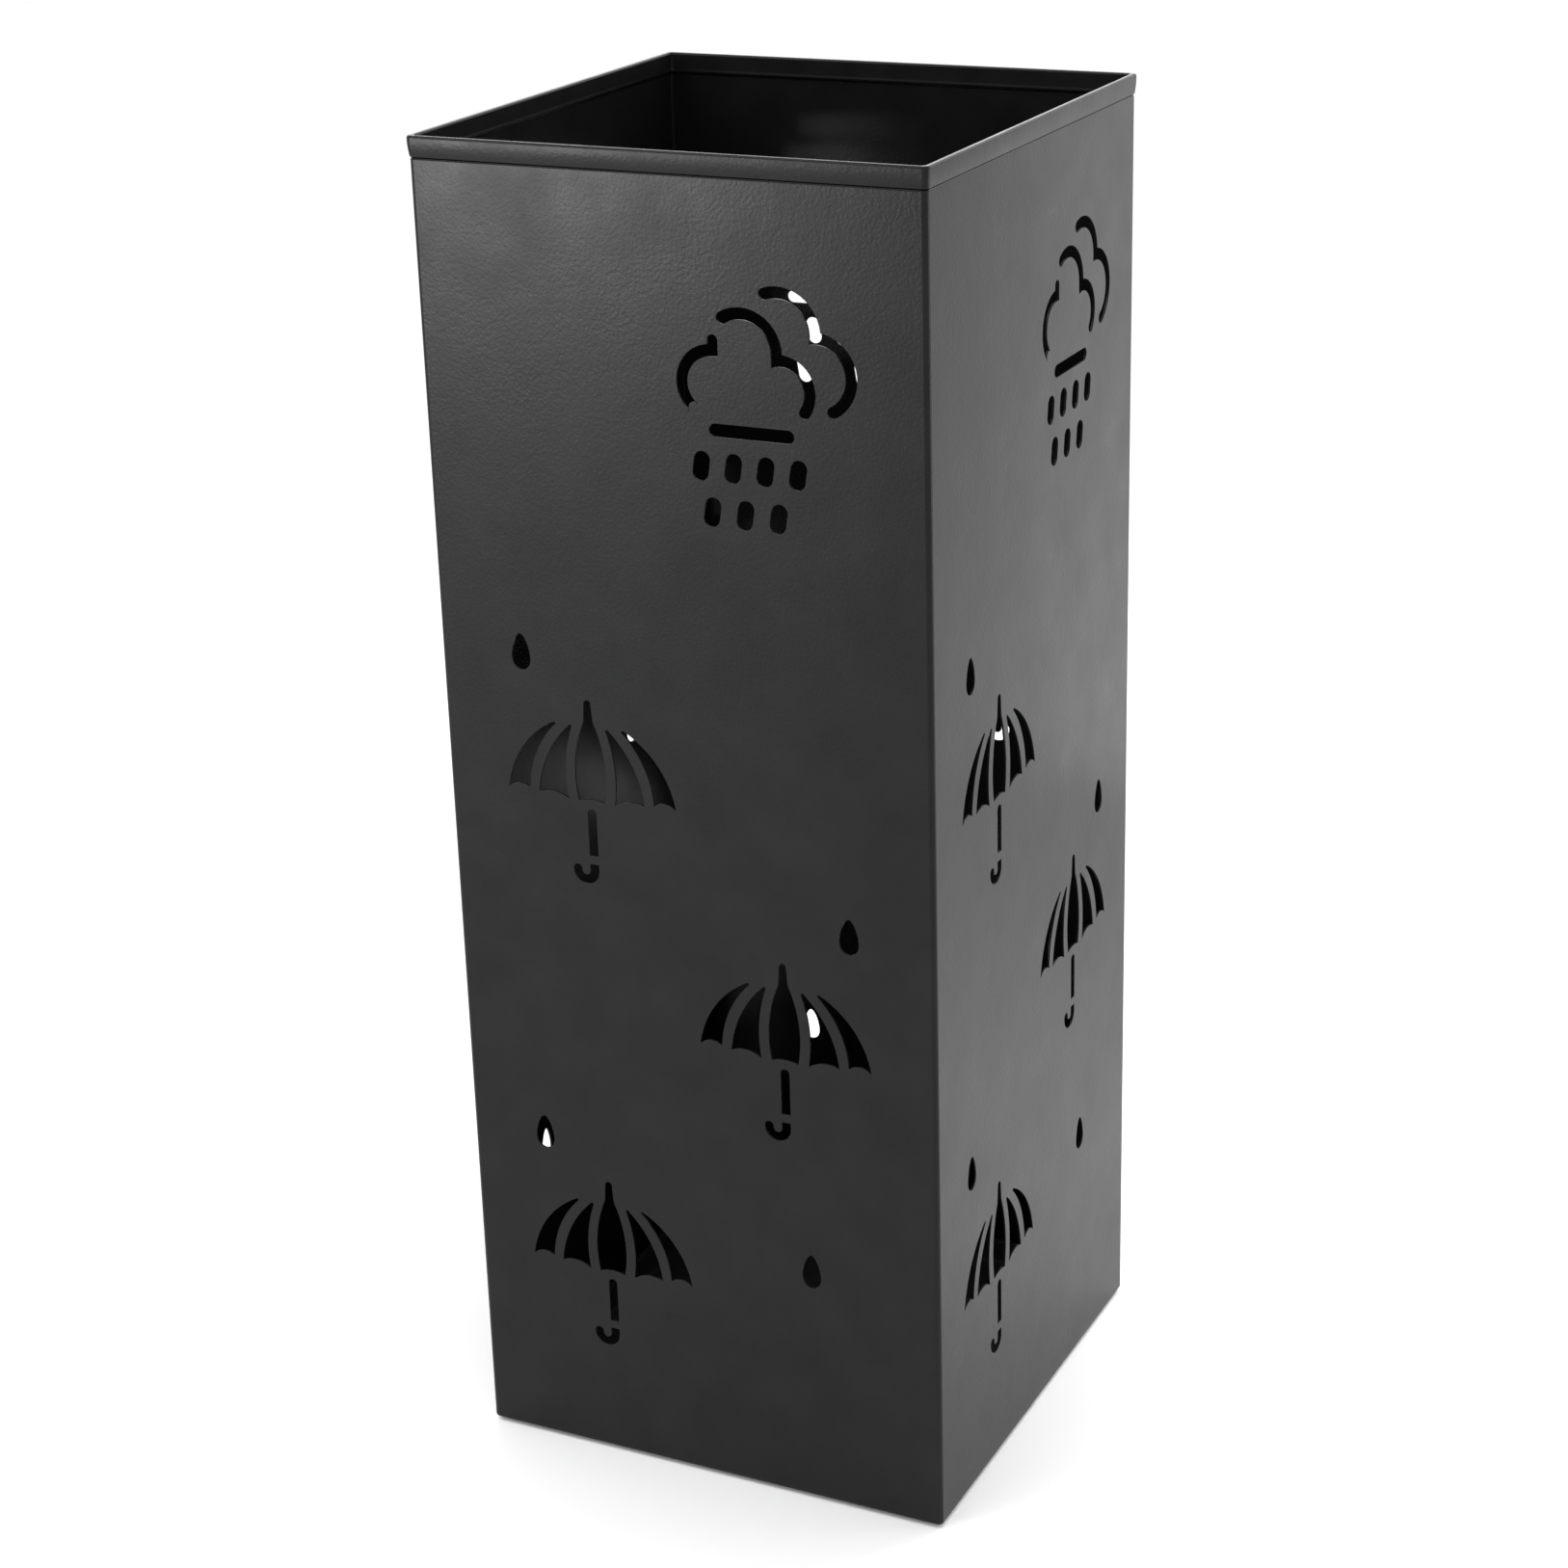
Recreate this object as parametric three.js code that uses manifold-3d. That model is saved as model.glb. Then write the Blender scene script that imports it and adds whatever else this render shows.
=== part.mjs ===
// Square umbrella stand in perforated sheet steel, standing on the floor.
// Two folded half shells meet at two opposite corners, a plate closes the bottom, a loose drip tray
// lies on the plate and four pads keep the steel off the floor.
// Millimetres, +Z up, origin on the floor at the middle of the stand, front face towards -Y.
import * as THREE from "three";
import { mergeVertices } from "three/addons/utils/BufferGeometryUtils.js";
import Module from "manifold-3d";

const wasm = await Module();
wasm.setup();

// Driving dimensions.
const WIDTH = 187; // across the flat faces, both ways
const HEIGHT = 492.5; // floor to the top of the rim
const SHEET = 0.8; // steel thickness
const CORNER_RADIUS = 2; // outside radius of the upright corners
const HEM_HEIGHT = 7; // folded band along the rim
const HEM_PROUD = 0.6; // how far the band stands out of the face
const HEM_INSET = 1.1; // how far it stands into the well
const HEM_SHOULDER = 0.5; // height of the step under the band
const FLANGE_WIDTH = 14; // strip folded in along the bottom
const FLANGE_CLEARANCE = 0.5; // between a flange's end and the upright bend
const MITRE_SLACK = 1; // how much more than a mitre a flange's end is cut back
const PAD_HEIGHT = 1.5; // clear height of the steel over the floor
const PAD_RADIUS = 6;
const PAD_INSET = 8.5; // from a face to a pad's middle
const GAP = 0.3; // between pieces that touch
const TRAY_WALL = 1.2;
const TRAY_HEIGHT = 9.7;
const TRAY_RIM_HALF = 90.8; // half the width over the rim
const TRAY_FLOOR_HALF = 87.5; // half the width under the floor
const TRAY_CORNER_RADIUS = 7;
const TRAY_LIP = 0.8; // how far the lip stands out of the tray's wall
const CUTTER_DEPTH = 6; // more than the sheet, so that a cutter goes right through
const CHORD_ERROR = 0.12; // most that a straight step may leave an arc
const BEZIER_STEPS = 4;

const HALF = WIDTH / 2;
const PLATE_BOTTOM = PAD_HEIGHT + SHEET + GAP;
const TRAY_BOTTOM = PLATE_BOTTOM + SHEET + GAP;
const DEG = Math.PI / 180;

// Materials, one per finish.
function powderCoat() {
  return new THREE.MeshStandardMaterial({ color: 0x222324, roughness: 0.5, metalness: 0.1 });
}

function blackPlastic() {
  return new THREE.MeshStandardMaterial({ color: 0x1b1b1c, roughness: 0.55, metalness: 0 });
}

function blackRubber() {
  return new THREE.MeshStandardMaterial({ color: 0x151515, roughness: 0.9, metalness: 0 });
}

// Solids: booleans work on merged, position-only geometry.
function solidOf(geometry) {
  const bare = new THREE.BufferGeometry();
  bare.setAttribute("position", geometry.getAttribute("position"));
  bare.setIndex(geometry.index);
  const merged = mergeVertices(bare, 1e-3);
  return new wasm.Manifold(
    new wasm.Mesh({
      numProp: 3,
      vertProperties: new Float32Array(merged.attributes.position.array),
      triVerts: new Uint32Array(merged.index.array),
    }),
  );
}

function geometryOf(solid) {
  const mesh = solid.getMesh();
  const geometry = new THREE.BufferGeometry();
  geometry.setAttribute("position", new THREE.BufferAttribute(mesh.vertProperties, 3));
  geometry.setIndex(new THREE.BufferAttribute(mesh.triVerts, 1));
  return geometry;
}

// A skin over rings of equal length, closed at both ends by the flat outline that the rings follow.
function skin(rings, outline) {
  const count = outline.length;
  const positions = rings.flat().flatMap((point) => point.toArray());
  const index = [];
  for (let ring = 0; ring + 1 < rings.length; ring++) {
    for (let i = 0; i < count; i++) {
      const next = (i + 1) % count;
      const [a, b] = [ring * count + i, ring * count + next];
      index.push(a, b, b + count, a, b + count, a + count);
    }
  }
  const last = (rings.length - 1) * count;
  for (const [a, b, c] of THREE.ShapeUtils.triangulateShape(outline, [])) {
    index.push(a, c, b, last + a, last + b, last + c);
  }
  const geometry = new THREE.BufferGeometry();
  geometry.setAttribute("position", new THREE.Float32BufferAttribute(positions, 3));
  geometry.setIndex(index);
  return geometry;
}

// Cut-outs. Each is a closed outline on one face: x from the face's left edge, y from its bottom
// edge, seen from outside. A shape's absarc starts with a straight line from where the shape is.
function arcThrough(shape, from, via, to) {
  const [ax, ay] = [via[0] - from[0], via[1] - from[1]];
  const [bx, by] = [to[0] - from[0], to[1] - from[1]];
  const cross = ax * by - ay * bx;
  const cx = from[0] + (by * (ax * ax + ay * ay) - ay * (bx * bx + by * by)) / (2 * cross);
  const cy = from[1] + (ax * (bx * bx + by * by) - bx * (ax * ax + ay * ay)) / (2 * cross);
  const start = Math.atan2(from[1] - cy, from[0] - cx);
  const end = Math.atan2(to[1] - cy, to[0] - cx);
  shape.absarc(cx, cy, Math.hypot(from[0] - cx, from[1] - cy), start, end, cross < 0);
}

// The angle on the first of two circles where the second crosses it, on the upper right side.
function crossingAngle(first, second) {
  const [dx, dy] = [second.x - first.x, second.y - first.y];
  const distance = Math.hypot(dx, dy);
  const along = (first.r ** 2 - second.r ** 2 + distance ** 2) / (2 * distance);
  return Math.atan2(dy, dx) + Math.acos(along / first.r);
}

function widened(circle, by) {
  return { ...circle, r: circle.r + by };
}

function pointOn(circle, angle) {
  return [circle.x + circle.r * Math.cos(angle), circle.y + circle.r * Math.sin(angle)];
}

function draw(shape, circle, from, to) {
  shape.absarc(circle.x, circle.y, circle.r, from, to, to < from);
}

const STROKE = 2; // half the width of a cloud's line

// A cloud's crown and its right lobe, drawn as one line with round ends and a notch between them.
function cloudLine(crown, lobe, start, end) {
  const shape = new THREE.Shape();
  const [crownOuter, crownInner] = [widened(crown, STROKE), widened(crown, -STROKE)];
  const [lobeOuter, lobeInner] = [widened(lobe, STROKE), widened(lobe, -STROKE)];
  const onCrown = crossingAngle(crownOuter, lobeOuter);
  const notch = pointOn(crownOuter, onCrown);
  const onLobe = Math.atan2(notch[1] - lobe.y, notch[0] - lobe.x);
  const corner = Math.acos((crown.x + crownInner.r - lobe.x) / lobeInner.r);
  const [startX, startY] = pointOn(crown, start);
  const [endX, endY] = pointOn(lobe, end);
  draw(shape, crownOuter, start, onCrown);
  draw(shape, lobeOuter, onLobe, end);
  draw(shape, { x: endX, y: endY, r: STROKE }, end, end - Math.PI);
  draw(shape, lobeInner, end, corner);
  draw(shape, crownInner, 0, start);
  draw(shape, { x: startX, y: startY, r: STROKE }, start + Math.PI, start);
  return shape;
}

// The front cloud's left lobe, with the short upright stub where it meets the crown.
function cloudLeftLobe() {
  const lobe = { x: 110.3, y: 416.3, r: 11.05 };
  const end = 231 * DEG;
  const stub = { x: 110.85, y: 430.8, r: 1.85 };
  const [outer, inner] = [widened(lobe, STROKE), widened(lobe, -STROKE)];
  const [endX, endY] = pointOn(lobe, end);
  const shape = new THREE.Shape();
  draw(shape, outer, end, Math.acos((stub.x - stub.r - lobe.x) / outer.r));
  draw(shape, stub, Math.PI, 0);
  shape.lineTo(stub.x + stub.r, lobe.y + inner.r);
  draw(shape, inner, Math.PI / 2, end);
  draw(shape, { x: endX, y: endY, r: STROKE }, end + Math.PI, end + 2 * Math.PI);
  return shape;
}

// A slot with round ends: its middle, width, length and lean from upright.
function slot(x, y, width, length, lean) {
  const reach = (length - width) / 2;
  const [dx, dy] = [Math.sin(lean) * reach, Math.cos(lean) * reach];
  const shape = new THREE.Shape();
  draw(shape, { x: x + dx, y: y + dy, r: width / 2 }, -lean, Math.PI - lean);
  draw(shape, { x: x - dx, y: y - dy, r: width / 2 }, Math.PI - lean, 2 * Math.PI - lean);
  return shape;
}

// A falling drop, narrow at the top, with its middle at x, y.
function drop(x, y) {
  const shape = new THREE.Shape();
  shape.absellipse(x, y - 2.3, 3.65, 4.3, Math.PI, 2 * Math.PI, false);
  shape.bezierCurveTo(x + 3.65, y + 1.4, x + 1.6, y + 6.6, x, y + 6.6);
  shape.bezierCurveTo(x - 1.6, y + 6.6, x - 3.65, y + 1.4, x - 3.65, y - 2.3);
  return shape;
}

// An umbrella's side panels, right of its middle. Its lower edge goes from inner over arch to outer,
// its outer edge from there over back to the tip, and its inner edge over front back to inner.
const SIDE_PANELS = [
  {
    inner: [9.15, -0.1],
    arch: [15.4, 2.2],
    outer: [20.9, 1.1],
    back: [16.8, 15.4],
    tip: [7, 27.4],
    front: [9.8, 12],
  },
  {
    inner: [24.55, 2],
    arch: [28, 3.4],
    outer: [33.1, 1.5],
    back: [27.8, 15.4],
    tip: [13.2, 27.8],
    front: [22.2, 13.5],
  },
];

// An open umbrella: a middle panel with the ferrule, two panels on each side, shaft and hook.
// Its x, y is the middle of the middle panel's lower edge.
function umbrella(x, y) {
  const at = ([px, py]) => [x + px, y + py];
  const middle = new THREE.Shape();
  arcThrough(middle, at([-5.1, 0]), at([0, 0.9]), at([5.1, 0]));
  arcThrough(middle, at([5.1, 0]), at([6.05, 11]), at([1.8, 29.8]));
  draw(middle, { x, y: y + 36.4, r: 1.35 }, 0, Math.PI);
  arcThrough(middle, at([-1.8, 29.8]), at([-6.05, 11]), at([-5.1, 0]));

  const sides = SIDE_PANELS.flatMap((panel) =>
    [1, -1].map((hand) => {
      const to = ([px, py]) => at([hand * px, py]);
      const [tipX, tipY] = panel.tip;
      const shape = new THREE.Shape();
      arcThrough(shape, to(panel.inner), to(panel.arch), to(panel.outer));
      arcThrough(shape, to(panel.outer), to(panel.back), to([tipX + 0.35, tipY + 0.45]));
      arcThrough(shape, to([tipX - 0.35, tipY - 0.1]), to(panel.front), to(panel.inner));
      return shape;
    }),
  );

  const shaft = new THREE.Shape();
  shaft.moveTo(x + 1.5, y - 20.5);
  draw(shaft, { x: x - 0.2, y: y - 4.5, r: 1.7 }, 0, Math.PI);
  shaft.lineTo(x - 1.9, y - 20.5);

  const bend = { x: x - 3.6, y: y - 26.2 };
  const hook = new THREE.Shape();
  hook.moveTo(x + 1.45, y - 23.7);
  hook.lineTo(x - 1.95, y - 23.7);
  draw(hook, { ...bend, r: 1.65 }, 0, -Math.PI);
  draw(hook, { x: x - 6.95, y: y - 25.9, r: 1.7 }, 0, Math.PI);
  draw(hook, { ...bend, r: 5.05 }, -Math.PI, 0);
  return [middle, ...sides, shaft, hook];
}

function rainSlots(count, x, y, pitch) {
  return Array.from({ length: count }, (_, i) => slot(x + i * pitch, y, 5.9, 10.2, 9 * DEG));
}

function faceCutouts() {
  const backCloud = cloudLine(
    { x: 134.3, y: 434.7, r: 13.3 },
    { x: 147.6, y: 421.5, r: 12.6 },
    109 * DEG,
    -62.4 * DEG,
  );
  const frontCloud = cloudLine(
    { x: 121.1, y: 427.5, r: 12.75 },
    { x: 135, y: 415.4, r: 10.4 },
    121 * DEG,
    -36 * DEG,
  );
  return [
    backCloud,
    frontCloud,
    cloudLeftLobe(),
    slot(124, 400.8, 4.5, 30.8, 90 * DEG),
    ...rainSlots(4, 105.2, 388.3, 11.75),
    ...rainSlots(3, 108.8, 372.8, 12.1),
    drop(32.1, 314.9),
    drop(155, 227.3),
    drop(30.4, 128.8),
    drop(137.5, 93.9),
    ...umbrella(57.3, 262.5),
    ...umbrella(129.4, 175.4),
    ...umbrella(55.8, 75.3),
  ];
}

// A shape's outline as straight steps that stay within the chord error of its arcs.
function stepped(shape) {
  const points = shape.curves.flatMap((curve) => {
    if (curve.isLineCurve) return [curve.v1];
    if (!curve.isEllipseCurve) return curve.getPoints(BEZIER_STEPS);
    const radius = Math.max(curve.xRadius, curve.yRadius);
    const stepLength = 2 * radius * Math.acos(1 - CHORD_ERROR / radius);
    return curve.getPoints(Math.ceil(curve.getLength() / stepLength));
  });
  const apart = (point, i) => point.distanceTo(points.at(i - 1)) > 0.01;
  return new THREE.Shape(points.filter(apart));
}

// Solids that cut every opening of the front face, turned about Z onto another face.
function faceCutters(turn) {
  return faceCutouts().map((shape) => {
    const settings = { depth: CUTTER_DEPTH, bevelEnabled: false };
    const geometry = new THREE.ExtrudeGeometry(stepped(shape), settings);
    geometry.rotateX(90 * DEG);
    geometry.translate(-HALF, -HALF + CUTTER_DEPTH / 2, PAD_HEIGHT);
    return solidOf(geometry.rotateZ(turn));
  });
}

// The upright section of the sheet: out from the face's outer plane, and height.
function wallSection() {
  const bottom = PAD_HEIGHT;
  const band = HEIGHT - HEM_HEIGHT;
  const round = (HEM_PROUD + SHEET + HEM_INSET) / 2;
  const shape = new THREE.Shape();
  shape.moveTo(-SHEET, bottom);
  shape.absarc(-SHEET, bottom + SHEET, SHEET, -90 * DEG, 0, false);
  shape.lineTo(0, band - HEM_SHOULDER);
  shape.lineTo(HEM_PROUD, band);
  shape.absarc(HEM_PROUD - round, HEIGHT - round, round, 0, Math.PI, false);
  shape.lineTo(-SHEET - HEM_INSET, band);
  shape.lineTo(-SHEET, band - HEM_SHOULDER - SHEET);
  shape.closePath();
  const points = shape.getPoints(3);
  return points.filter((point, i) => i === 0 || point.distanceTo(points[i - 1]) > 1e-3);
}

// The plan of a half shell: half a corner, the right side, a whole corner, the front, half a corner.
function shellStations() {
  const middle = HALF - CORNER_RADIUS;
  const stations = [];
  const turn = (x, y, from, to, steps) => {
    for (let i = 0; i <= steps; i++) {
      const angle = (from + ((to - from) * i) / steps) * DEG;
      const normal = new THREE.Vector2(Math.cos(angle), Math.sin(angle));
      stations.push({ normal, base: new THREE.Vector2(x, y).addScaledVector(normal, CORNER_RADIUS) });
    }
  };
  turn(middle, middle, 45, 0, 3);
  turn(middle, -middle, 360, 270, 6);
  turn(-middle, -middle, 270, 225, 3);
  const seam = new THREE.Vector2(GAP / 2, -GAP / 2).multiplyScalar(Math.SQRT1_2);
  stations.at(0).base.add(seam);
  stations.at(-1).base.add(seam);
  return stations;
}

// A strip folded in along the bottom of the front face, with mitred ends, turned about Z.
function flange(turn) {
  const outer = HALF - CORNER_RADIUS - FLANGE_CLEARANCE;
  const inner = HALF - FLANGE_WIDTH - MITRE_SLACK;
  const shape = new THREE.Shape();
  shape.moveTo(-outer, -HALF + SHEET / 2);
  shape.lineTo(outer, -HALF + SHEET / 2);
  shape.lineTo(inner, -HALF + FLANGE_WIDTH);
  shape.lineTo(-inner, -HALF + FLANGE_WIDTH);
  const geometry = new THREE.ExtrudeGeometry(shape, { depth: SHEET, bevelEnabled: false });
  return solidOf(geometry.translate(0, 0, PAD_HEIGHT).rotateZ(turn));
}

function halfShellSolid() {
  const outline = wallSection();
  const rings = shellStations().map(({ base, normal }) =>
    outline.map((p) => new THREE.Vector3(base.x + normal.x * p.x, base.y + normal.y * p.x, p.y)),
  );
  let solid = solidOf(skin(rings, outline));
  for (const turn of [0, 90 * DEG]) {
    solid = solid.add(flange(turn));
    for (const cutter of faceCutters(turn)) solid = solid.subtract(cutter);
  }
  return solid;
}

function roundedSquare(half, radius, cornerSteps) {
  const middle = half - radius;
  const points = [];
  for (let corner = 0; corner < 4; corner++) {
    const [x, y] = [[1, 1], [-1, 1], [-1, -1], [1, -1]][corner];
    for (let i = 0; i <= cornerSteps; i++) {
      const angle = (corner * 90 + (90 * i) / cornerSteps) * DEG;
      const [px, py] = [radius * Math.cos(angle), radius * Math.sin(angle)];
      points.push(new THREE.Vector2(x * middle + px, y * middle + py));
    }
  }
  return points;
}

function basePlateGeometry() {
  const shape = new THREE.Shape(roundedSquare(HALF - SHEET - 2 * GAP, CORNER_RADIUS, 3));
  const geometry = new THREE.ExtrudeGeometry(shape, { depth: SHEET, bevelEnabled: false });
  return geometry.translate(0, 0, PLATE_BOTTOM);
}

// The tray's wall leans out to a rim with a small lip on its outside.
function trayGeometry() {
  const top = TRAY_BOTTOM + TRAY_HEIGHT;
  const profile = [
    [TRAY_FLOOR_HALF, TRAY_BOTTOM],
    [TRAY_RIM_HALF - TRAY_LIP, top - 2 * TRAY_LIP],
    [TRAY_RIM_HALF, top - 1.5 * TRAY_LIP],
    [TRAY_RIM_HALF, top],
    [TRAY_RIM_HALF - TRAY_LIP - TRAY_WALL, top],
    [TRAY_FLOOR_HALF - TRAY_WALL, TRAY_BOTTOM + TRAY_WALL],
  ];
  const rings = profile.map(([half, z]) => {
    const radius = TRAY_CORNER_RADIUS - (TRAY_RIM_HALF - half) / 2;
    return roundedSquare(half, radius, 6).map((p) => new THREE.Vector3(p.x, p.y, z));
  });
  return skin(rings, roundedSquare(TRAY_FLOOR_HALF, TRAY_CORNER_RADIUS, 6));
}

function padGeometry() {
  const height = PAD_HEIGHT - GAP;
  const geometry = new THREE.CylinderGeometry(PAD_RADIUS, PAD_RADIUS, height, 24);
  return geometry.rotateX(90 * DEG).translate(0, 0, height / 2);
}

const stand = new THREE.Group();

function place(name, geometry, material) {
  const mesh = new THREE.Mesh(geometry, material);
  mesh.name = name;
  stand.add(mesh);
  return mesh;
}

const halfShell = geometryOf(halfShellSolid());
place("half_shell_front_right", halfShell, powderCoat());
place("half_shell_back_left", halfShell.clone(), powderCoat()).rotation.z = Math.PI;
place("base_plate", basePlateGeometry(), powderCoat());
place("drip_tray", trayGeometry(), blackPlastic());

const padPlace = HALF - PAD_INSET; // from the middle to a pad's middle, both ways
const corners = { front_left: [-1, -1], front_right: [1, -1], back_right: [1, 1], back_left: [-1, 1] };
for (const [corner, [x, y]] of Object.entries(corners)) {
  place(`foot_pad_${corner}`, padGeometry(), blackRubber()).position.set(x * padPlace, y * padPlace, 0);
}

export default stand;
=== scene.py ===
# The visible umbrella stand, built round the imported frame.
# Two folded half shells of sheet steel with cut-outs, a base plate, a drip tray and four pads.
import math

import bpy
from mathutils import Matrix, Vector


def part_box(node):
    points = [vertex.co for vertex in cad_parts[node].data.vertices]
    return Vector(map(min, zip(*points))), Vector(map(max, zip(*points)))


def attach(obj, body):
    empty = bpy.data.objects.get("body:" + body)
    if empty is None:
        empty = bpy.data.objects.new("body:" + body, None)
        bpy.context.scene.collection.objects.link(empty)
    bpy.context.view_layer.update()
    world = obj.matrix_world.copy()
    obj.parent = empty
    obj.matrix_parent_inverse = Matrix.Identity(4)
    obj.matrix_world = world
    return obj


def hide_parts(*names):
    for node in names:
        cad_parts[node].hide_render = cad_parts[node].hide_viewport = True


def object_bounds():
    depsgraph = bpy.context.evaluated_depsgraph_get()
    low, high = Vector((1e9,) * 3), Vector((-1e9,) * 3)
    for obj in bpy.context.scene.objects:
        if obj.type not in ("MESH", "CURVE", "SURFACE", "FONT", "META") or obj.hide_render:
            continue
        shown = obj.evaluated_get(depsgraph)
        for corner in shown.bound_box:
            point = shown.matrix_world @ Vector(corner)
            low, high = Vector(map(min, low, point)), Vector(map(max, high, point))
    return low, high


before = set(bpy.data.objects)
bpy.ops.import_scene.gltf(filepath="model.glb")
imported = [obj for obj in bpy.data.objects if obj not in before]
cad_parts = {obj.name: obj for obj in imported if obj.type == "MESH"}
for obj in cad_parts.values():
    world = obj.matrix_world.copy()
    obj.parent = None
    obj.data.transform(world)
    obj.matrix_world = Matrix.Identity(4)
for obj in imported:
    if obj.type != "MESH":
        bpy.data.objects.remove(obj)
cad_low, cad_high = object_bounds()

MM = 0.001
SHELL_LOW, SHELL_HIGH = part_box("half_shell_front_right")
PLATE_LOW, PLATE_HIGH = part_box("base_plate")
TRAY_LOW, TRAY_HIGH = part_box("drip_tray")

SHEET = 0.8 * MM  # steel thickness
CORNER_RADIUS = 2 * MM  # outside radius of the upright corners
HEM_HEIGHT = 7 * MM
HEM_PROUD = 0.6 * MM  # how far the folded band stands out of the face
HEM_INSET = 1.1 * MM  # how far it stands into the well
PINCH_BEND = 0.45 * MM  # radius of the bends in the shoulder under the band
RIM_BEND = 0.42 * MM  # radius of the two bends over the rim
RIM_SPARE = 0.02 * MM  # how far the crest stays under the solid's top
FLANGE_WIDTH = 14 * MM  # strip folded in along the bottom
SEAM_GAP = 0.04 * MM  # how far the split is moved from the diagonal
EDGE_ROUND = 0.12 * MM  # softened edge under the paint
HALF = cad_high.x - HEM_PROUD  # from the middle to a face
BOTTOM = SHELL_LOW.z
RIM = SHELL_HIGH.z

# ---------------------------------------------------------------- outlines of the cut-outs, in mm
# x from a face's left edge, y from its bottom edge, seen from outside.

STROKE = 2  # half the width of a cloud's line
ARC_STEP = math.radians(9)


def arc(circle, start, end):
    """Points along a circle (x, y, r) from one angle to another."""
    x, y, r = circle
    steps = max(2, math.ceil(abs(end - start) / ARC_STEP))
    angles = [start + (end - start) * i / steps for i in range(steps + 1)]
    return [(x + r * math.cos(a), y + r * math.sin(a)) for a in angles]


def arc_through(first, via, last):
    """Points along the arc through three points."""
    ax, ay = via[0] - first[0], via[1] - first[1]
    bx, by = last[0] - first[0], last[1] - first[1]
    cross = ax * by - ay * bx
    x = first[0] + (by * (ax * ax + ay * ay) - ay * (bx * bx + by * by)) / (2 * cross)
    y = first[1] + (ax * (bx * bx + by * by) - bx * (ax * ax + ay * ay)) / (2 * cross)
    start = math.atan2(first[1] - y, first[0] - x)
    end = math.atan2(last[1] - y, last[0] - x)
    if cross > 0 and end < start:
        end += math.tau
    if cross < 0 and end > start:
        end -= math.tau
    radius = math.hypot(first[0] - x, first[1] - y)
    steps = max(3, math.ceil(abs(end - start) * radius / 2.5))
    angles = [start + (end - start) * i / steps for i in range(steps + 1)]
    return [(x + radius * math.cos(a), y + radius * math.sin(a)) for a in angles]


def on_circle(circle, angle):
    """The point of a circle at an angle."""
    x, y, r = circle
    return x + r * math.cos(angle), y + r * math.sin(angle)


def widened(circle, by):
    """The same circle with a larger or smaller radius."""
    x, y, r = circle
    return x, y, r + by


def crossing_angle(first, second):
    """The angle on the first circle where the second crosses it, on the upper right side."""
    dx, dy = second[0] - first[0], second[1] - first[1]
    distance = math.hypot(dx, dy)
    along = (first[2] ** 2 - second[2] ** 2 + distance**2) / (2 * distance)
    return math.atan2(dy, dx) + math.acos(along / first[2])


def cloud_line(crown, lobe, start, end):
    """A cloud's crown and right lobe as one line with round ends and a notch between them."""
    start, end = math.radians(start), math.radians(end)
    crown_outer, crown_inner = widened(crown, STROKE), widened(crown, -STROKE)
    lobe_outer, lobe_inner = widened(lobe, STROKE), widened(lobe, -STROKE)
    on_crown = crossing_angle(crown_outer, lobe_outer)
    notch = on_circle(crown_outer, on_crown)
    on_lobe = math.atan2(notch[1] - lobe[1], notch[0] - lobe[0])
    corner = math.acos((crown[0] + crown_inner[2] - lobe[0]) / lobe_inner[2])
    return (
        arc(crown_outer, start, on_crown)
        + arc(lobe_outer, on_lobe, end)
        + arc((*on_circle(lobe, end), STROKE), end, end - math.pi)
        + arc(lobe_inner, end, corner)
        + arc(crown_inner, 0, start)
        + arc((*on_circle(crown, start), STROKE), start + math.pi, start)
    )


def cloud_left_lobe():
    """The front cloud's left lobe, with the short upright stub where it meets the crown."""
    lobe, stub = (110.3, 416.3, 11.05), (110.85, 430.8, 1.85)
    end = math.radians(231)
    outer, inner = widened(lobe, STROKE), widened(lobe, -STROKE)
    return (
        arc(outer, end, math.acos((stub[0] - stub[2] - lobe[0]) / outer[2]))
        + arc(stub, math.pi, 0)
        + [(stub[0] + stub[2], lobe[1] + inner[2])]
        + arc(inner, math.pi / 2, end)
        + arc((*on_circle(lobe, end), STROKE), end + math.pi, end + math.tau)
    )


def slot(x, y, width, length, lean=0):
    """A slot with round ends; lean is its turn from upright, to the right."""
    lean = math.radians(lean)
    reach = (length - width) / 2
    dx, dy = math.sin(lean) * reach, math.cos(lean) * reach
    return arc((x + dx, y + dy, width / 2), -lean, math.pi - lean) + arc(
        (x - dx, y - dy, width / 2), math.pi - lean, math.tau - lean
    )


def bezier(a, b, c, d, steps=9):
    """Points along a cubic curve."""
    points = []
    for i in range(steps + 1):
        t = i / steps
        weights = ((1 - t) ** 3, 3 * (1 - t) ** 2 * t, 3 * (1 - t) * t * t, t**3)
        points.append(tuple(sum(w * p[k] for w, p in zip(weights, (a, b, c, d))) for k in (0, 1)))
    return points


def drop(x, y):
    """A falling drop, narrow at the top, with its middle at x, y."""
    belly = [(x + 3.65 * px, y - 2.3 + 4.3 * py) for px, py in arc((0, 0, 1), math.pi, math.tau)]
    right = bezier((x + 3.65, y - 2.3), (x + 3.65, y + 1.4), (x + 1.6, y + 6.6), (x, y + 6.6))
    left = [(2 * x - px, py) for px, py in reversed(right)]
    return belly + right + left


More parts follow.
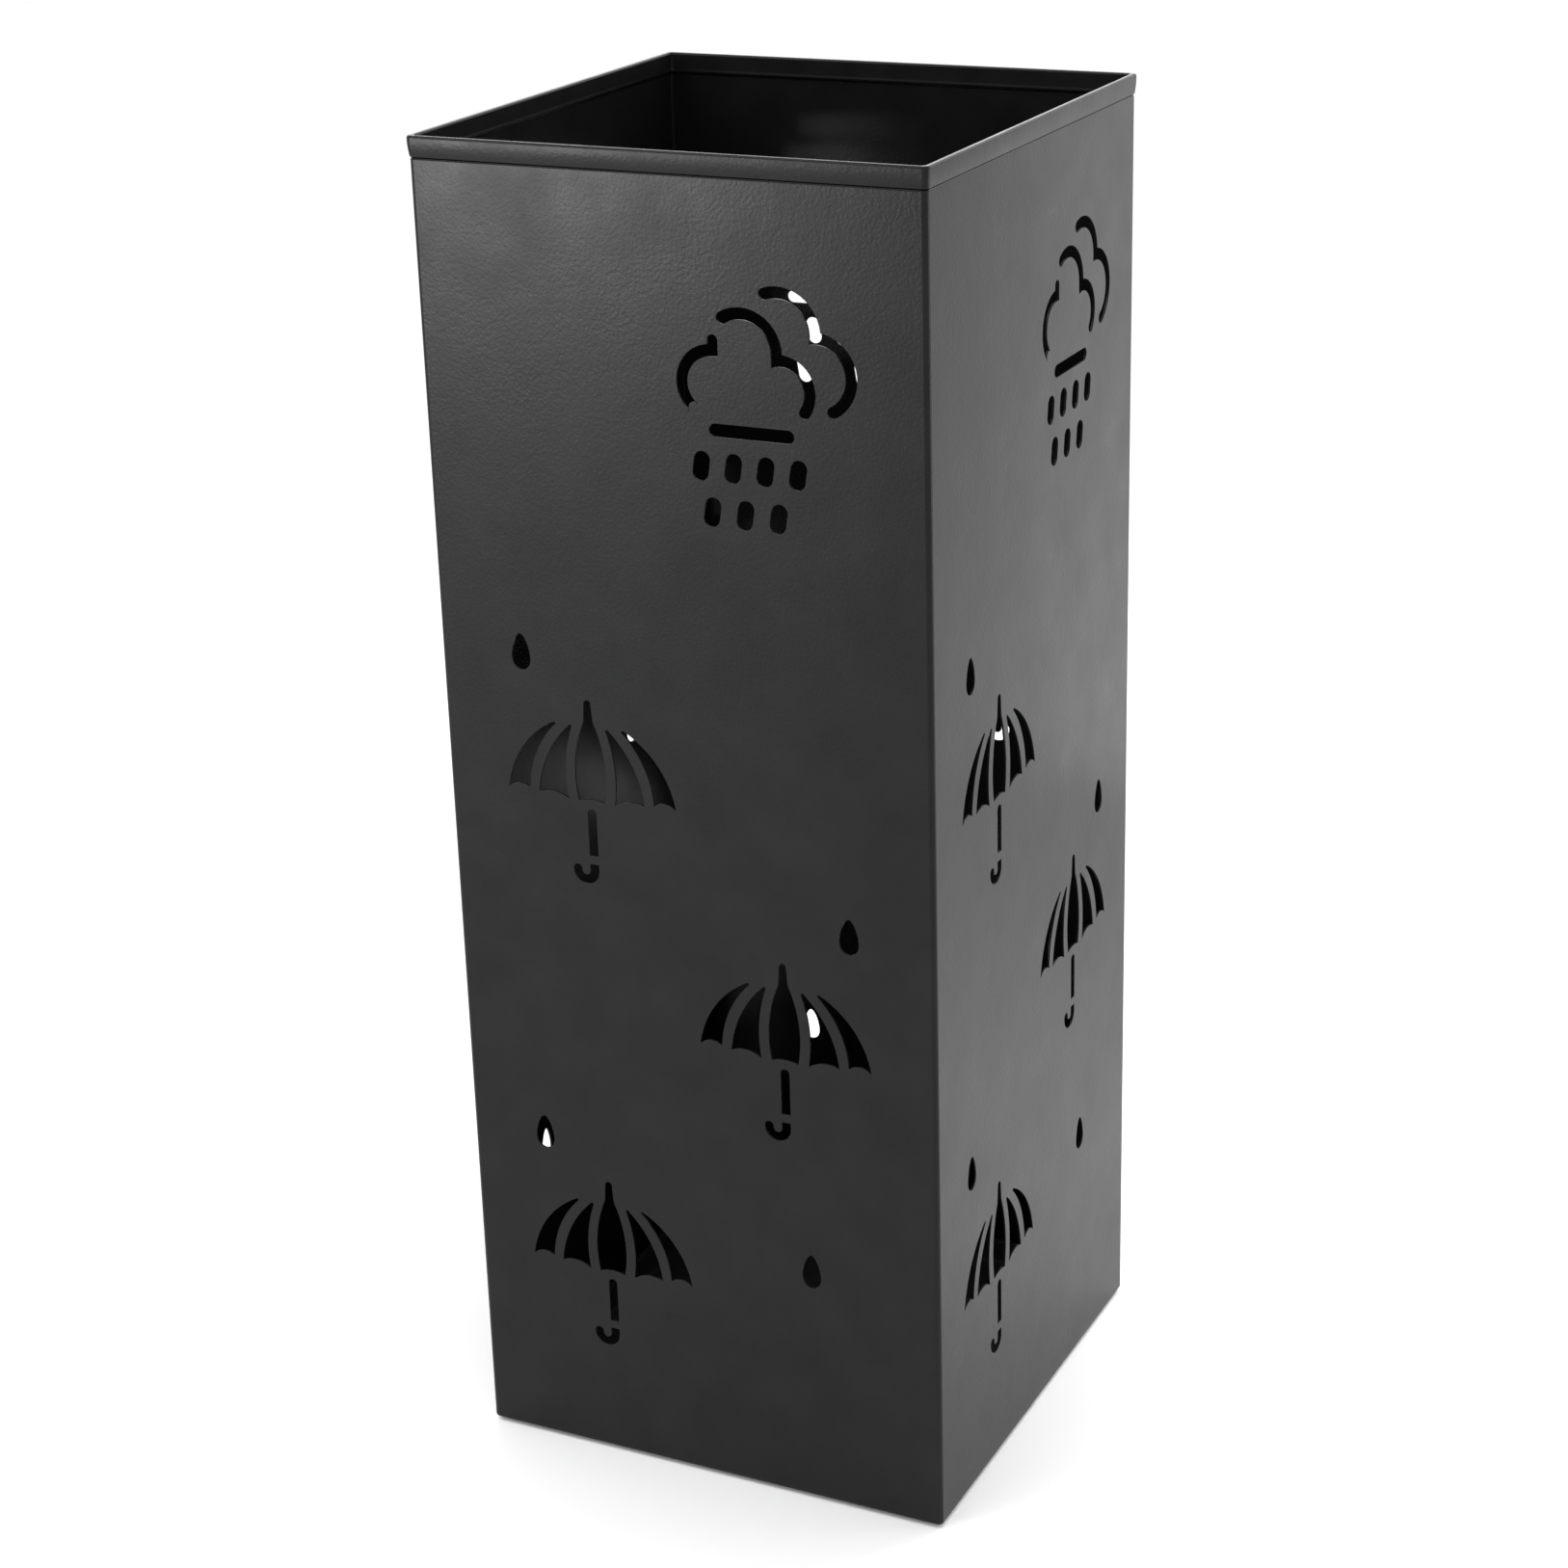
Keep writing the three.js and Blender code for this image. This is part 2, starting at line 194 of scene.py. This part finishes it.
def umbrella(x, y):
    """An open umbrella. Its x, y is the middle of the middle panel's lower edge."""

    def at(px, py):
        return x + px, y + py

    middle = (
        arc_through(at(-5.1, 0), at(0, 0.9), at(5.1, 0))
        + arc_through(at(5.1, 0), at(6.05, 11), at(1.8, 29.8))
        + arc((x, y + 36.4, 1.35), 0, math.pi)
        + arc_through(at(-1.8, 29.8), at(-6.05, 11), at(-5.1, 0))
    )
    outlines = [middle]
    for hand in (1, -1):
        for inner, arch, outer, back, tip, front in (
            ((9.15, -0.1), (15.4, 2.2), (20.9, 1.1), (16.8, 15.4), (7, 27.4), (9.8, 12)),
            ((24.55, 2), (28, 3.4), (33.1, 1.5), (27.8, 15.4), (13.2, 27.8), (22.2, 13.5)),
        ):
            tip_end = tip[0] + 0.35, tip[1] + 0.45
            tip_start = tip[0] - 0.35, tip[1] - 0.1
            corners = [inner, arch, outer, back, tip_end, tip_start, front]
            i, a, o, b, e, s, f = [at(hand * px, py) for px, py in corners]
            outlines.append(arc_through(i, a, o) + arc_through(o, b, e) + arc_through(s, f, i))
    shaft = [at(1.5, -20.5), *arc((x - 0.2, y - 4.5, 1.7), 0, math.pi), at(-1.9, -20.5)]
    curl = x - 3.6, y - 26.2
    hook = (
        [at(1.45, -23.7), at(-1.95, -23.7)]
        + arc((*curl, 1.65), 0, -math.pi)
        + arc((x - 6.95, y - 25.9, 1.7), 0, math.pi)
        + arc((*curl, 5.05), -math.pi, 0)
    )
    return [*outlines, shaft, hook]


def face_cutouts():
    """Every opening of one face."""
    return [
        cloud_line((134.3, 434.7, 13.3), (147.6, 421.5, 12.6), 109, -62.4),
        cloud_line((121.1, 427.5, 12.75), (135, 415.4, 10.4), 121, -36),
        cloud_left_lobe(),
        slot(124, 400.8, 4.5, 30.8, 90),
        *[slot(105.2 + 11.75 * i, 388.3, 5.9, 10.2, 9) for i in range(4)],
        *[slot(108.8 + 12.1 * i, 372.8, 5.9, 10.2, 9) for i in range(3)],
        drop(32.1, 314.9),
        drop(155, 227.3),
        drop(30.4, 128.8),
        drop(137.5, 93.9),
        *umbrella(57.3, 262.5),
        *umbrella(129.4, 175.4),
        *umbrella(55.8, 75.3),
    ]


# ---------------------------------------------------------------- working in edit mode


def deselect():
    bpy.ops.object.select_all(action="DESELECT")


def activate(piece):
    """Makes a piece the only one selected and the active one."""
    deselect()
    piece.select_set(True)
    bpy.context.view_layer.objects.active = piece


def start_edit(piece, select="SELECT"):
    """Opens a piece in edit mode with all or none of it selected."""
    activate(piece)
    bpy.ops.object.mode_set(mode="EDIT")
    bpy.ops.mesh.select_all(action=select)


def end_edit():
    bpy.ops.object.mode_set(mode="OBJECT")


def face_outwards():
    """Turns every face of the piece in edit mode outwards."""
    bpy.ops.mesh.select_all(action="SELECT")
    bpy.ops.mesh.normals_make_consistent(inside=False)


def apply_modifier(piece, kind, **settings):
    """Adds one modifier to a piece and applies it."""
    activate(piece)
    modifier = piece.modifiers.new(kind.lower(), kind)
    for name, value in settings.items():
        setattr(modifier, name, value)
    bpy.ops.object.modifier_apply(modifier=modifier.name)


def settle(piece):
    """Puts a piece's place into its mesh."""
    activate(piece)
    bpy.ops.object.transform_apply(location=True, rotation=True, scale=True)


def smooth(piece, angle=25):
    """Shades a piece smooth up to an angle, with flat faces kept flat."""
    activate(piece)
    bpy.ops.object.shade_smooth_by_angle(angle=math.radians(angle))
    apply_modifier(piece, "WEIGHTED_NORMAL", keep_sharp=True, weight=60)


def rounded_ring(name, half, radius, z, segments=8):
    """A rounded square of edges, left in edit mode with all of it selected."""
    deselect()
    bpy.ops.mesh.primitive_plane_add(size=2 * half, location=(0, 0, z))
    piece = bpy.context.active_object
    piece.name = name
    settle(piece)
    start_edit(piece)
    bpy.ops.mesh.bevel(offset=radius, offset_type="OFFSET", segments=segments, affect="VERTICES")
    return piece


def extrude_rings(steps):
    """Extrudes the selected ring through (half width, z) steps; the first step is where it is."""
    for (half, z), (next_half, next_z) in zip(steps, steps[1:]):
        bpy.ops.mesh.extrude_edges_move(TRANSFORM_OT_translate={"value": (0, 0, next_z - z)})
        factor = next_half / half
        bpy.ops.transform.resize(value=(factor, factor, 1), center_override=(0, 0, next_z))


def bend(centre, radius, start, end, steps):
    """Steps along an arc of a section, in degrees: (half width, z)."""
    angles = [math.radians(start + (end - start) * i / steps) for i in range(steps + 1)]
    return [(centre[0] + radius * math.cos(a), centre[1] + radius * math.sin(a)) for a in angles]


# ---------------------------------------------------------------- the half shells


def cutter(outlines):
    """Solids that cut all openings of the front face."""
    curve = bpy.data.curves.new("cutter", "CURVE")
    curve.dimensions = "2D"
    curve.fill_mode = "BOTH"
    curve.extrude = 3 * MM
    same_point = 0.02  # closer points count as one
    for outline in outlines:
        following = outline[1:] + outline[:1]
        kept = [p for p, q in zip(outline, following) if math.dist(p, q) > same_point]
        spline = curve.splines.new("POLY")
        spline.points.add(len(kept) - 1)
        for point, (x, y) in zip(spline.points, kept):
            point.co = (x * MM, y * MM, 0, 1)
        spline.use_cyclic_u = True
    piece = bpy.data.objects.new("cutter", curve)
    bpy.context.collection.objects.link(piece)
    activate(piece)
    bpy.ops.object.convert(target="MESH")
    piece = bpy.context.active_object
    upright = Matrix.Rotation(math.radians(90), 4, "X")
    piece.matrix_world = Matrix.Translation((-HALF, -HALF, BOTTOM)) @ upright
    settle(piece)
    start_edit(piece)
    bpy.ops.mesh.remove_doubles(threshold=0.001 * MM)
    face_outwards()
    end_edit()
    return piece


def turned_copy(piece, name, degrees):
    """A copy of a piece, turned about the stand's upright axis, with its own mesh."""
    copy = piece.copy()
    copy.data = piece.data.copy()
    copy.name = name
    bpy.context.collection.objects.link(copy)
    copy.matrix_world = Matrix.Rotation(math.radians(degrees), 4, "Z") @ copy.matrix_world
    settle(copy)
    return copy


def shell_section():
    """Half widths and heights of the sheet's middle, from the bottom flange up and over the hem."""
    wall = HALF - SHEET / 2
    floor = BOTTOM + SHEET / 2
    band = RIM - HEM_HEIGHT
    crest = RIM - SHEET / 2 - RIM_SPARE
    outer = wall + HEM_PROUD
    inner = wall - HEM_INSET
    fold = 0.8 * MM  # radius of the bend into the flange
    ridge = 0.2 * MM  # how far the inside steps back above its ridge
    return [
        (HALF - FLANGE_WIDTH, floor),
        (wall - 2 * MM, floor),
        *bend((wall - fold, floor + fold), fold, -90, 0, 4),
        (wall, floor + 4 * MM),
        (wall, band - 4 * MM),
        # The shoulder under the band, where the sheet is pinched in.
        *bend((wall - PINCH_BEND, band - 1.1 * MM), PINCH_BEND, 0, 50, 3),
        *bend((inner + PINCH_BEND, band + 0.25 * MM), PINCH_BEND, 230, 180, 3),
        (inner, band + 0.55 * MM),
        (inner + ridge, band + 1.3 * MM),
        # Two tight bends over the rim with a slight dip between them.
        *bend((inner + ridge + RIM_BEND, crest - RIM_BEND), RIM_BEND, 180, 90, 5),
        (wall - 0.14 * MM, crest - 0.08 * MM),
        *bend((outer - RIM_BEND, crest - RIM_BEND), RIM_BEND, 90, 0, 5),
        # The band's outside leans in towards its free edge.
        (outer, crest - 1.6 * MM),
        (outer - 0.04 * MM, crest - 2.8 * MM),
        (outer - 0.14 * MM, crest - 4.2 * MM),
        (outer - 0.29 * MM, crest - 5.5 * MM),
        (outer - 0.45 * MM, band),
    ]


def corner_slit():
    """The cut that parts the two flanges at the bend between the faces."""
    from_bend = 1.6 * MM
    reach = HALF - FLANGE_WIDTH / 2 - from_bend
    length, width, height = FLANGE_WIDTH * 1.42, 0.7 * MM, 3 * MM
    deselect()
    bpy.ops.mesh.primitive_cube_add(size=1)
    piece = bpy.context.active_object
    piece.scale = (length, width, height)
    piece.rotation_euler = (0, 0, math.radians(-45))
    piece.location = (reach, -reach, BOTTOM)
    settle(piece)
    return piece


def weld_dents():
    """Shallow lens-shaped marks of the spot welds, three along each flange."""
    radius, thickness, depth = 2.6 * MM, 0.5 * MM, 0.14 * MM
    from_face = 7.5 * MM
    dents = []
    for along in (-55 * MM, 0, 55 * MM):
        deselect()
        bpy.ops.mesh.primitive_uv_sphere_add(segments=24, ring_count=12, radius=1)
        dent = bpy.context.active_object
        dent.scale = (radius, radius, thickness)
        dent.location = (along, -HALF + from_face, BOTTOM + depth - thickness)
        settle(dent)
        dents.append(dent)
        dents.append(turned_copy(dent, "dent", 90))
    activate(dents[0])
    for dent in dents:
        dent.select_set(True)
    bpy.ops.object.join()
    return bpy.context.active_object


def round_cut_edges(shell):
    """Softens the sharp edges, except on the rim and the hem's ends, where the folds are too tight."""
    rim_start = RIM - 4 * MM
    hem_start = RIM - HEM_HEIGHT - 3 * MM
    by_seam = 3 * MM
    start_edit(shell, "DESELECT")
    bpy.ops.mesh.select_mode(type="EDGE")
    bpy.ops.mesh.edges_select_sharp(sharpness=math.radians(50))
    end_edit()
    points = shell.data.vertices
    weights = shell.data.attributes.new("bevel_weight_edge", "FLOAT", "EDGE")
    for edge, weight in zip(shell.data.edges, weights.data):
        ends = [points[i].co for i in edge.vertices]
        at_rim = any(p.z > rim_start for p in ends)
        at_hem_end = any(p.z > hem_start and abs(p.x - p.y) < by_seam for p in ends)
        weight.value = 1.0 if edge.select and not (at_rim or at_hem_end) else 0.0
    rounding = {"width": EDGE_ROUND, "segments": 2, "limit_method": "WEIGHT"}
    apply_modifier(shell, "BEVEL", use_clamp_overlap=False, **rounding)


def make_half_shells():
    """One folded ring of sheet, split at two opposite corners, with the openings cut out."""
    section = shell_section()
    flange_edge, floor = section[0]
    radius = 1.4 * MM  # it grows with the ring, to CORNER_RADIUS outside the walls
    shell = rounded_ring("half_shell_front_right_steel", flange_edge, radius, floor)
    bpy.ops.mesh.delete(type="ONLY_FACE")
    bpy.ops.mesh.select_all(action="SELECT")
    extrude_rings(section)
    bpy.ops.mesh.select_all(action="SELECT")
    bpy.ops.mesh.bisect(plane_co=(SEAM_GAP, 0, 0), plane_no=(1, -1, 0), clear_inner=True)
    face_outwards()
    end_edit()
    apply_modifier(shell, "SOLIDIFY", thickness=SHEET, offset=0, use_even_offset=True)
    front = cutter(face_cutouts())
    right = turned_copy(front, "cutter_right", 90)
    for tool in (front, right, corner_slit(), weld_dents()):
        apply_modifier(shell, "BOOLEAN", object=tool, operation="DIFFERENCE", solver="EXACT")
        bpy.data.objects.remove(tool)
    round_cut_edges(shell)
    smooth(shell)
    other = turned_copy(shell, "half_shell_back_left_steel", 180)
    return shell, other


# ---------------------------------------------------------------- plate, tray and pads


def make_base_plate():
    """The flat plate that closes the bottom, spot-welded to the flanges."""
    thickness = PLATE_HIGH.z - PLATE_LOW.z
    plate = rounded_ring("base_plate_steel", PLATE_HIGH.x, CORNER_RADIUS, PLATE_LOW.z, 6)
    bpy.ops.mesh.extrude_region_move(TRANSFORM_OT_translate={"value": (0, 0, thickness)})
    face_outwards()
    end_edit()
    apply_modifier(plate, "BEVEL", width=EDGE_ROUND, segments=2, limit_method="ANGLE")
    smooth(plate)
    return plate


def make_drip_tray():
    """A shallow moulded tray with leaning walls, rounded corners and a small lip."""
    rim, floor, top = TRAY_HIGH.x, TRAY_LOW.z, TRAY_HIGH.z
    wall = 1.2 * MM
    foot = rim - 2.5 * MM  # half width at the foot of the leaning walls
    middle = foot - 62 * MM  # half width of the flat middle
    steps = [
        (middle, floor),
        (foot - 3 * MM, floor),
        *bend((foot - 2.4 * MM, floor + 1.6 * MM), 1.6 * MM, -90, -15, 4),
        (rim - 0.8 * MM, top - 1.6 * MM),
        (rim - 0.1 * MM, top - 1.2 * MM),
        *bend((rim - 0.5 * MM, top - 0.5 * MM), 0.5 * MM, 0, 90, 4),
        *bend((rim - 0.9 * MM - wall, top - 0.6 * MM), 0.6 * MM, 90, 165, 3),
        *bend((foot - 3.6 * MM, floor + wall + 2 * MM), 2 * MM, -15, -90, 4),
        (middle, floor + wall),
    ]
    tray = rounded_ring("drip_tray_moulding", middle, 2.2 * MM, floor, 10)
    bpy.ops.mesh.delete(type="ONLY_FACE")
    bpy.ops.mesh.select_all(action="SELECT")
    extrude_rings(steps)
    # The middle is filled on both sides: first the last ring, then the loop still open.
    bpy.ops.mesh.edge_face_add()
    bpy.ops.mesh.select_all(action="DESELECT")
    bpy.ops.mesh.select_mode(type="EDGE")
    bpy.ops.mesh.select_non_manifold()
    bpy.ops.mesh.edge_face_add()
    face_outwards()
    end_edit()
    smooth(tray, 35)
    return tray


def make_foot_pad(node):
    """A round pad with a soft edge, under a corner of the flange."""
    low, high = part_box(node)
    radius, height = (high.x - low.x) / 2, high.z - low.z
    place = (low + high) / 2
    deselect()
    bpy.ops.mesh.primitive_cylinder_add(vertices=48, radius=radius, depth=height, location=place)
    pad = bpy.context.active_object
    pad.name = node + "_rubber"
    settle(pad)
    apply_modifier(pad, "BEVEL", width=0.3 * MM, segments=3, limit_method="ANGLE")
    smooth(pad)
    return pad


# ---------------------------------------------------------------- materials


def new_group(name, inputs, outputs):
    """An empty shader group with its two end nodes."""
    group = bpy.data.node_groups.new(name, "ShaderNodeTree")
    for socket, kind in inputs:
        group.interface.new_socket(socket, in_out="INPUT", socket_type=kind)
    for socket, kind in outputs:
        group.interface.new_socket(socket, in_out="OUTPUT", socket_type=kind)
    return group, group.nodes.new("NodeGroupInput"), group.nodes.new("NodeGroupOutput")


def add_node(tree, kind, **settings):
    """Adds a shader node; each setting is one of its inputs or else a property."""
    node = tree.nodes.new(kind)
    for name, value in settings.items():
        if name in node.inputs:
            node.inputs[name].default_value = value
        else:
            setattr(node, name, value)
    return node


def sprayed_grain():
    """Relief and mottle of a coat: fine peel over slow waves, with a few dust nibs under it."""
    group, entry, out = new_group(
        "sprayed_grain",
        [
            ("Vector", "NodeSocketVector"),
            ("Peel Scale", "NodeSocketFloat"),
            ("Wave Scale", "NodeSocketFloat"),
            ("Nib Scale", "NodeSocketFloat"),
        ],
        [("Height", "NodeSocketFloat"), ("Mottle", "NodeSocketFloat")],
    )
    peel = add_node(group, "ShaderNodeTexNoise", Detail=2.0, Roughness=0.5)
    wave = add_node(group, "ShaderNodeTexNoise", Detail=3.0, Roughness=0.55)
    nibs = add_node(group, "ShaderNodeTexVoronoi")
    link = group.links.new
    for texture, scale in ((peel, "Peel Scale"), (wave, "Wave Scale"), (nibs, "Nib Scale")):
        link(entry.outputs["Vector"], texture.inputs["Vector"])
        link(entry.outputs[scale], texture.inputs["Scale"])
    # One cell in eight has a nib, a small round dome at its point.
    chosen = add_node(group, "ShaderNodeSeparateColor")
    link(nibs.outputs["Color"], chosen.inputs["Color"])
    few = add_node(group, "ShaderNodeMath", operation="GREATER_THAN")
    few.inputs[1].default_value = 0.88
    link(chosen.outputs["Red"], few.inputs[0])
    dome = add_node(group, "ShaderNodeMapRange", interpolation_type="SMOOTHSTEP")
    dome.inputs["From Max"].default_value = 0.035
    dome.inputs["To Min"].default_value = 1.0
    dome.inputs["To Max"].default_value = 0.0
    link(nibs.outputs["Distance"], dome.inputs["Value"])
    nib = add_node(group, "ShaderNodeMath", operation="MULTIPLY")
    link(few.outputs[0], nib.inputs[0])
    link(dome.outputs["Result"], nib.inputs[1])
    # Height: peel, plus waves twice as high, plus nibs half as high again as the peel.
    waves = add_node(group, "ShaderNodeMath", operation="MULTIPLY_ADD")
    waves.inputs[1].default_value = 2.0
    link(wave.outputs["Fac"], waves.inputs[0])
    link(peel.outputs["Fac"], waves.inputs[2])
    height = add_node(group, "ShaderNodeMath", operation="MULTIPLY_ADD")
    height.inputs[1].default_value = 1.5
    link(nib.outputs[0], height.inputs[0])
    link(waves.outputs[0], height.inputs[2])
    link(height.outputs[0], out.inputs["Height"])
    link(wave.outputs["Fac"], out.inputs["Mottle"])
    return group


GRAIN = sprayed_grain()


def coated(name, dark, light, roughness, relief, scales, specular):
    """A material with the grain: its colour and roughness vary with the mottle."""
    material = bpy.data.materials.new(name)
    material.use_nodes = True
    tree = material.node_tree
    link = tree.links.new
    surface = tree.nodes["Principled BSDF"]
    surface.inputs["Specular IOR Level"].default_value = specular
    place = add_node(tree, "ShaderNodeTexCoord")
    grain = add_node(tree, "ShaderNodeGroup", node_tree=GRAIN)
    for socket, scale in zip(("Peel Scale", "Wave Scale", "Nib Scale"), scales):
        grain.inputs[socket].default_value = scale
    link(place.outputs["Object"], grain.inputs["Vector"])
    spread = add_node(tree, "ShaderNodeMapRange")
    spread.inputs["From Min"].default_value = 0.3
    spread.inputs["From Max"].default_value = 0.7
    link(grain.outputs["Mottle"], spread.inputs["Value"])
    # Sockets 6 and 7 of a colour mix are its two colours, and output 2 is the result.
    colour = add_node(tree, "ShaderNodeMix", data_type="RGBA")
    colour.inputs[6].default_value = (*dark, 1)
    colour.inputs[7].default_value = (*light, 1)
    link(spread.outputs["Result"], colour.inputs["Factor"])
    link(colour.outputs[2], surface.inputs["Base Color"])
    rough = add_node(tree, "ShaderNodeMapRange")
    rough.inputs["To Min"].default_value = roughness[0]
    rough.inputs["To Max"].default_value = roughness[1]
    link(spread.outputs["Result"], rough.inputs["Value"])
    link(rough.outputs["Result"], surface.inputs["Roughness"])
    bump = add_node(tree, "ShaderNodeBump", Strength=1.0, Distance=relief)
    link(grain.outputs["Height"], bump.inputs["Height"])
    link(bump.outputs["Normal"], surface.inputs["Normal"])
    return material


def make_materials():
    """The three finishes, by the name of their slot."""
    return {
        "powder_coat": coated(
            "satin_black_powder_coat",
            dark=(0.0052, 0.0053, 0.0054),
            light=(0.0078, 0.0079, 0.0081),
            roughness=(0.27, 0.33),
            relief=0.045 * MM,
            scales=(800.0, 45.0, 90.0),
            specular=0.18,
        ),
        "tray_plastic": coated(
            "matt_black_plastic",
            dark=(0.012, 0.012, 0.0125),
            light=(0.02, 0.02, 0.0205),
            roughness=(0.5, 0.62),
            relief=0.03 * MM,
            scales=(1500.0, 120.0, 60.0),
            specular=0.4,
        ),
        "pad_rubber": coated(
            "black_rubber",
            dark=(0.01, 0.01, 0.01),
            light=(0.018, 0.018, 0.018),
            roughness=(0.75, 0.9),
            relief=0.05 * MM,
            scales=(700.0, 200.0, 300.0),
            specular=0.3,
        ),
    }


# ---------------------------------------------------------------- assembly


def fit(piece, node, body, material):
    """Gives a piece its material and body, and lets it stand for its CAD node."""
    piece.data.materials.clear()
    piece.data.materials.append(material)
    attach(piece, body)
    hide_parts(node)


def assemble():
    """Makes every piece and fits it to its CAD node."""
    finishes = make_materials()
    front_right, back_left = make_half_shells()
    fit(front_right, "half_shell_front_right", "stand", finishes["powder_coat"])
    fit(back_left, "half_shell_back_left", "stand", finishes["powder_coat"])
    fit(make_base_plate(), "base_plate", "stand", finishes["powder_coat"])
    fit(make_drip_tray(), "drip_tray", "tray", finishes["tray_plastic"])
    for node in [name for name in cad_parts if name.startswith("foot_pad")]:
        fit(make_foot_pad(node), node, "stand", finishes["pad_rubber"])


# ---------------------------------------------------------------- camera, floor and light


def make_camera():
    """Looks down on the near corner between the front and the right face."""
    azimuth, elevation, roll = math.radians(26.33), math.radians(21.19), math.radians(-1.67)
    target, distance = Vector((-0.0061, -0.0031, 0.2425)), 1.1996
    back = Vector((math.sin(azimuth), -math.cos(azimuth), math.tan(elevation))).normalized()
    data = bpy.data.cameras.new("camera")
    data.sensor_width = 36
    data.lens = 74.37
    camera = bpy.data.objects.new("camera", data)
    bpy.context.collection.objects.link(camera)
    turn = (-back).to_track_quat("-Z", "Y").to_matrix().to_4x4()
    place = Matrix.Translation(target + back * distance)
    camera.matrix_world = place @ turn @ Matrix.Rotation(roll, 4, "Z")
    bpy.context.scene.camera = camera


def make_floor():
    """A plain pale floor under the pads."""
    deselect()
    bpy.ops.mesh.primitive_plane_add(size=30, location=(0, 0, 0))
    floor = bpy.context.active_object
    floor.name = "floor"
    material = bpy.data.materials.new("pale_floor")
    material.use_nodes = True
    surface = material.node_tree.nodes["Principled BSDF"]
    surface.inputs["Base Color"].default_value = (0.97, 0.97, 0.97, 1)
    surface.inputs["Roughness"].default_value = 0.9
    surface.inputs["Specular IOR Level"].default_value = 0.1
    floor.data.materials.append(material)


def softbox(name, place, aim, size, watts):
    """A rectangular lamp at a place, facing a point."""
    data = bpy.data.lights.new(name, "AREA")
    data.shape = "RECTANGLE"
    data.size, data.size_y = size
    data.energy = watts
    lamp = bpy.data.objects.new(name, data)
    bpy.context.collection.objects.link(lamp)
    lamp.visible_camera = False
    lamp.location = place
    lamp.rotation_euler = (Vector(aim) - Vector(place)).to_track_quat("-Z", "Y").to_euler()


def make_light():
    """White surroundings, with softboxes that draw the highlights on the two near faces."""
    world = bpy.data.worlds.new("studio")
    bpy.context.scene.world = world
    world.use_nodes = True
    surroundings = world.node_tree.nodes["Background"]
    surroundings.inputs["Color"].default_value = (1, 1, 1, 1)
    surroundings.inputs["Strength"].default_value = 1.03
    # Two broad ones behind, and one high in front.
    softbox("back_left", (-0.6, 1.3, 0.95), (0, 0, 0.45), (0.8, 0.6), 4)
    softbox("back_right", (0.45, 1.1, 0.95), (0.05, 0, 0.45), (0.5, 0.5), 1.5)
    softbox("front_left", (-0.6, -0.6, 1.4), (0, 0, 0.4), (0.5, 0.5), 3)
    # Two that brighten the floor where the lowest part of each face mirrors it.
    softbox("floor_right", (0.2, 0.2, 0.32), (0.2, 0.2, 0), (0.2, 0.2), 0.7)
    softbox("floor_front", (-0.05, -0.25, 0.32), (-0.05, -0.25, 0), (0.2, 0.15), 0.25)
    # Strips along the right face, and one low in front for the top of the front face.
    softbox("strip_back_right", (0.19, 0.31, 0.36), (0.09, 0.09, 0.36), (0.04, 0.45), 0.09)
    softbox("strip_right", (1.1, 0.45, 0.2), (0.09, -0.09, 0.1), (0.25, 0.4), 1.5)
    softbox("strip_front", (-0.8, -1.35, 0.26), (0, -0.1, 0.42), (0.35, 0.08), 5.8)
    bpy.context.scene.view_settings.view_transform = "Standard"


assemble()
make_camera()
make_floor()
make_light()
